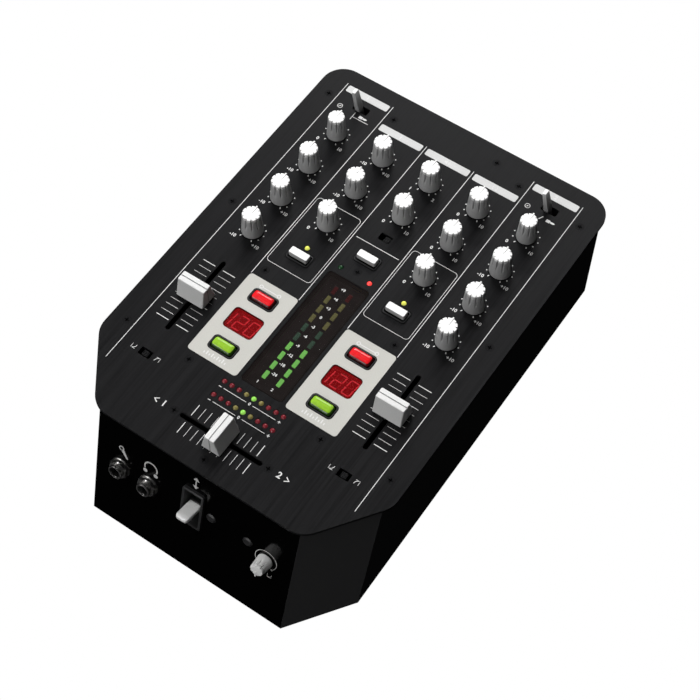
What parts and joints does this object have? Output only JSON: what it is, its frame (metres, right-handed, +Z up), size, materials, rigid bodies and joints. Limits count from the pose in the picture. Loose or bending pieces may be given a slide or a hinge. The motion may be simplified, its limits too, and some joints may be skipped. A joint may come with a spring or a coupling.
{
  "type": "dj mixer",
  "caption": "Two-channel tabletop mixer: black control panel with rotary knobs, faders, keys and a level meter on a housing whose front leans forward.",
  "frame": {"origin": "under the middle of the whole, on the surface it stands on", "axes": "+X to the user's right, +Y to the rear, +Z up"},
  "size_m": [0.203, 0.3084, 0.1088],
  "materials": {
    "panel_black": "black brushed sheet, satin",
    "housing_black": "black paint, semi-gloss",
    "foot_rubber": "black rubber, matt",
    "screw_black": "black oxide steel",
    "nickel": "nickel plate",
    "board_green": "green solder mask",
    "spacer_brass": "turned brass",
    "switch_steel": "pressed steel",
    "black_plastic": "moulded black plastic",
    "smoked_window": "smoked acrylic, polished",
    "red_lens": "red lens",
    "yellow_lens": "yellow lens",
    "green_lens": "green lens",
    "display_red": "red filter, polished",
    "knob_grey": "grey moulding with a white cap",
    "cap_white": "moulded white plastic",
    "lever_grey": "moulded grey plastic",
    "carriage_steel": "pressed steel",
    "key_white": "white key",
    "key_red": "red translucent key",
    "key_green": "green translucent key"
  },
  "bodies": {
    "housing": {"top_panel": "panel_black", "chassis_shell": "housing_black", "bottom_plate": "housing_black", "rubber_feet": "foot_rubber", "panel_screws": "screw_black", "case_screws": "screw_black", "jack_nuts": "nickel", "circuit_boards": "board_green", "board_spacers": "spacer_brass", "pot_bodies": "switch_steel", "fader_frames": "switch_steel", "switch_bodies": "black_plastic", "switch_bezels": "black_plastic", "meter_window": "smoked_window", "meter_baffle": "black_plastic", "red_lamps": "red_lens", "yellow_lamps": "yellow_lens", "green_lamps": "green_lens", "tempo_displays": "display_red", "jack_sockets": "black_plastic", "rca_jacks": "black_plastic", "rca_sleeves": "nickel", "rear_terminals": "black_plastic"},
    "knob_ch1_gain": {"knob_ch1_gain": "knob_grey"},
    "knob_ch1_high": {"knob_ch1_high": "knob_grey"},
    "knob_ch1_mid": {"knob_ch1_mid": "knob_grey"},
    "knob_ch1_low": {"knob_ch1_low": "knob_grey"},
    "knob_mic_high": {"knob_mic_high": "knob_grey"},
    "knob_mic_low": {"knob_mic_low": "knob_grey"},
    "knob_mic_level": {"knob_mic_level": "knob_grey"},
    "knob_phones_mix": {"knob_phones_mix": "knob_grey"},
    "knob_phones_level": {"knob_phones_level": "knob_grey"},
    "knob_main_level": {"knob_main_level": "knob_grey"},
    "knob_main_balance": {"knob_main_balance": "knob_grey"},
    "knob_main_effect": {"knob_main_effect": "knob_grey"},
    "knob_ch2_gain": {"knob_ch2_gain": "knob_grey"},
    "knob_ch2_high": {"knob_ch2_high": "knob_grey"},
    "knob_ch2_mid": {"knob_ch2_mid": "knob_grey"},
    "knob_ch2_low": {"knob_ch2_low": "knob_grey"},
    "knob_crossfader_curve": {"knob_crossfader_curve": "knob_grey"},
    "fader_ch1": {"fader_cap_ch1": "cap_white", "fader_carriage_ch1": "carriage_steel"},
    "fader_ch2": {"fader_cap_ch2": "cap_white", "fader_carriage_ch2": "carriage_steel"},
    "fader_cross": {"fader_cap_cross": "cap_white", "fader_carriage_cross": "carriage_steel"},
    "toggle_ch1": {"toggle_ch1": "lever_grey"},
    "toggle_ch2": {"toggle_ch2": "lever_grey"},
    "key_mic_on": {"key_mic_on": "key_white"},
    "key_monitor": {"key_monitor": "key_white"},
    "key_effect": {"key_effect": "key_white"},
    "key_sync_ch1": {"key_sync_ch1": "key_red"},
    "key_sync_ch2": {"key_sync_ch2": "key_red"},
    "key_beat_ch1": {"key_beat_ch1": "key_green"},
    "key_beat_ch2": {"key_beat_ch2": "key_green"},
    "slide_monitor_source": {"slide_monitor_source": "black_plastic"},
    "slide_curve_ch1": {"slide_curve_ch1": "black_plastic"},
    "slide_curve_ch2": {"slide_curve_ch2": "black_plastic"},
    "reverse_lever": {"reverse_lever": "cap_white"},
    "power_rocker": {"power_rocker": "black_plastic"}
  },
  "joints": [
    {"name": "knob_ch1_gain_turn", "type": "hinge", "parent": "housing", "child": "knob_ch1_gain", "pos_m": [-0.0685, 0.10225, 0.0912], "axis": [0, 0, -1], "range_deg": [-150, 150]},
    {"name": "knob_ch1_high_turn", "type": "hinge", "parent": "housing", "child": "knob_ch1_high", "pos_m": [-0.0685, 0.07291, 0.0912], "axis": [0, 0, -1], "range_deg": [-150, 150]},
    {"name": "knob_ch1_mid_turn", "type": "hinge", "parent": "housing", "child": "knob_ch1_mid", "pos_m": [-0.0685, 0.04358, 0.0912], "axis": [0, 0, -1], "range_deg": [-150, 150]},
    {"name": "knob_ch1_low_turn", "type": "hinge", "parent": "housing", "child": "knob_ch1_low", "pos_m": [-0.0685, 0.01426, 0.0912], "axis": [0, 0, -1], "range_deg": [-150, 150]},
    {"name": "knob_mic_high_turn", "type": "hinge", "parent": "housing", "child": "knob_mic_high", "pos_m": [-0.03425, 0.10225, 0.0912], "axis": [0, 0, -1], "range_deg": [-150, 150]},
    {"name": "knob_mic_low_turn", "type": "hinge", "parent": "housing", "child": "knob_mic_low", "pos_m": [-0.03425, 0.07291, 0.0912], "axis": [0, 0, -1], "range_deg": [-150, 150]},
    {"name": "knob_mic_level_turn", "type": "hinge", "parent": "housing", "child": "knob_mic_level", "pos_m": [-0.03425, 0.04358, 0.0912], "axis": [0, 0, -1], "range_deg": [-150, 150]},
    {"name": "knob_phones_mix_turn", "type": "hinge", "parent": "housing", "child": "knob_phones_mix", "pos_m": [0, 0.10225, 0.0912], "axis": [0, 0, -1], "range_deg": [-150, 150]},
    {"name": "knob_phones_level_turn", "type": "hinge", "parent": "housing", "child": "knob_phones_level", "pos_m": [0, 0.07291, 0.0912], "axis": [0, 0, -1], "range_deg": [-150, 150]},
    {"name": "knob_main_level_turn", "type": "hinge", "parent": "housing", "child": "knob_main_level", "pos_m": [0.03425, 0.10225, 0.0912], "axis": [0, 0, -1], "range_deg": [-150, 150]},
    {"name": "knob_main_balance_turn", "type": "hinge", "parent": "housing", "child": "knob_main_balance", "pos_m": [0.03425, 0.07291, 0.0912], "axis": [0, 0, -1], "range_deg": [-150, 150]},
    {"name": "knob_main_effect_turn", "type": "hinge", "parent": "housing", "child": "knob_main_effect", "pos_m": [0.03425, 0.04358, 0.0912], "axis": [0, 0, -1], "range_deg": [-150, 150]},
    {"name": "knob_ch2_gain_turn", "type": "hinge", "parent": "housing", "child": "knob_ch2_gain", "pos_m": [0.0685, 0.10225, 0.0912], "axis": [0, 0, -1], "range_deg": [-150, 150]},
    {"name": "knob_ch2_high_turn", "type": "hinge", "parent": "housing", "child": "knob_ch2_high", "pos_m": [0.0685, 0.07291, 0.0912], "axis": [0, 0, -1], "range_deg": [-150, 150]},
    {"name": "knob_ch2_mid_turn", "type": "hinge", "parent": "housing", "child": "knob_ch2_mid", "pos_m": [0.0685, 0.04358, 0.0912], "axis": [0, 0, -1], "range_deg": [-150, 150]},
    {"name": "knob_ch2_low_turn", "type": "hinge", "parent": "housing", "child": "knob_ch2_low", "pos_m": [0.0685, 0.01426, 0.0912], "axis": [0, 0, -1], "range_deg": [-150, 150]},
    {"name": "knob_crossfader_curve_turn", "type": "hinge", "parent": "housing", "child": "knob_crossfader_curve", "pos_m": [0.0512, -0.14053, 0.05164], "axis": [0, 0.9632, -0.2688], "range_deg": [-150, 150]},
    {"name": "fader_ch1_slide", "type": "slide", "parent": "housing", "child": "fader_ch1", "axis": [0, 1, 0], "range_m": [-0.0225, 0.0225]},
    {"name": "fader_ch2_slide", "type": "slide", "parent": "housing", "child": "fader_ch2", "axis": [0, 1, 0], "range_m": [-0.0225, 0.0225]},
    {"name": "fader_cross_slide", "type": "slide", "parent": "housing", "child": "fader_cross", "axis": [1, 0, 0], "range_m": [-0.0225, 0.0225]},
    {"name": "toggle_ch1_tip", "type": "hinge", "parent": "housing", "child": "toggle_ch1", "pos_m": [-0.067, 0.12704, 0.0852], "axis": [0, 1, 0], "range_deg": [0, 25]},
    {"name": "toggle_ch2_tip", "type": "hinge", "parent": "housing", "child": "toggle_ch2", "pos_m": [0.07, 0.12704, 0.0852], "axis": [0, 1, 0], "range_deg": [0, 25]},
    {"name": "key_mic_on_press", "type": "slide", "parent": "housing", "child": "key_mic_on", "axis": [0, 0, -1], "range_m": [0, 0.0012], "stiffness_N_per_m": 400, "springref_m": -0.001},
    {"name": "key_monitor_press", "type": "slide", "parent": "housing", "child": "key_monitor", "axis": [0, 0, -1], "range_m": [0, 0.0012], "stiffness_N_per_m": 400, "springref_m": -0.001},
    {"name": "key_effect_press", "type": "slide", "parent": "housing", "child": "key_effect", "axis": [0, 0, -1], "range_m": [0, 0.0012], "stiffness_N_per_m": 400, "springref_m": -0.001},
    {"name": "key_sync_ch1_press", "type": "slide", "parent": "housing", "child": "key_sync_ch1", "axis": [0, 0, -1], "range_m": [0, 0.0012], "stiffness_N_per_m": 400, "springref_m": -0.001},
    {"name": "key_sync_ch2_press", "type": "slide", "parent": "housing", "child": "key_sync_ch2", "axis": [0, 0, -1], "range_m": [0, 0.0012], "stiffness_N_per_m": 400, "springref_m": -0.001},
    {"name": "key_beat_ch1_press", "type": "slide", "parent": "housing", "child": "key_beat_ch1", "axis": [0, 0, -1], "range_m": [0, 0.0012], "stiffness_N_per_m": 400, "springref_m": -0.001},
    {"name": "key_beat_ch2_press", "type": "slide", "parent": "housing", "child": "key_beat_ch2", "axis": [0, 0, -1], "range_m": [0, 0.0012], "stiffness_N_per_m": 400, "springref_m": -0.001},
    {"name": "slide_monitor_source_move", "type": "slide", "parent": "housing", "child": "slide_monitor_source", "axis": [1, 0, 0], "range_m": [-0.003, 0]},
    {"name": "slide_curve_ch1_move", "type": "slide", "parent": "housing", "child": "slide_curve_ch1", "axis": [1, 0, 0], "range_m": [-0.0015, 0.0015]},
    {"name": "slide_curve_ch2_move", "type": "slide", "parent": "housing", "child": "slide_curve_ch2", "axis": [1, 0, 0], "range_m": [-0.0015, 0.0015]},
    {"name": "reverse_lever_swing", "type": "hinge", "parent": "housing", "child": "reverse_lever", "pos_m": [0, -0.13514, 0.05532], "axis": [-1, 0, 0], "range_deg": [-14, 14], "stiffness_Nm_per_rad": 0.05},
    {"name": "power_rocker_tip", "type": "hinge", "parent": "housing", "child": "power_rocker", "pos_m": [-0.0825, 0.14364, 0.0526], "axis": [-1, 0, 0], "range_deg": [0, 16]}
  ]
}
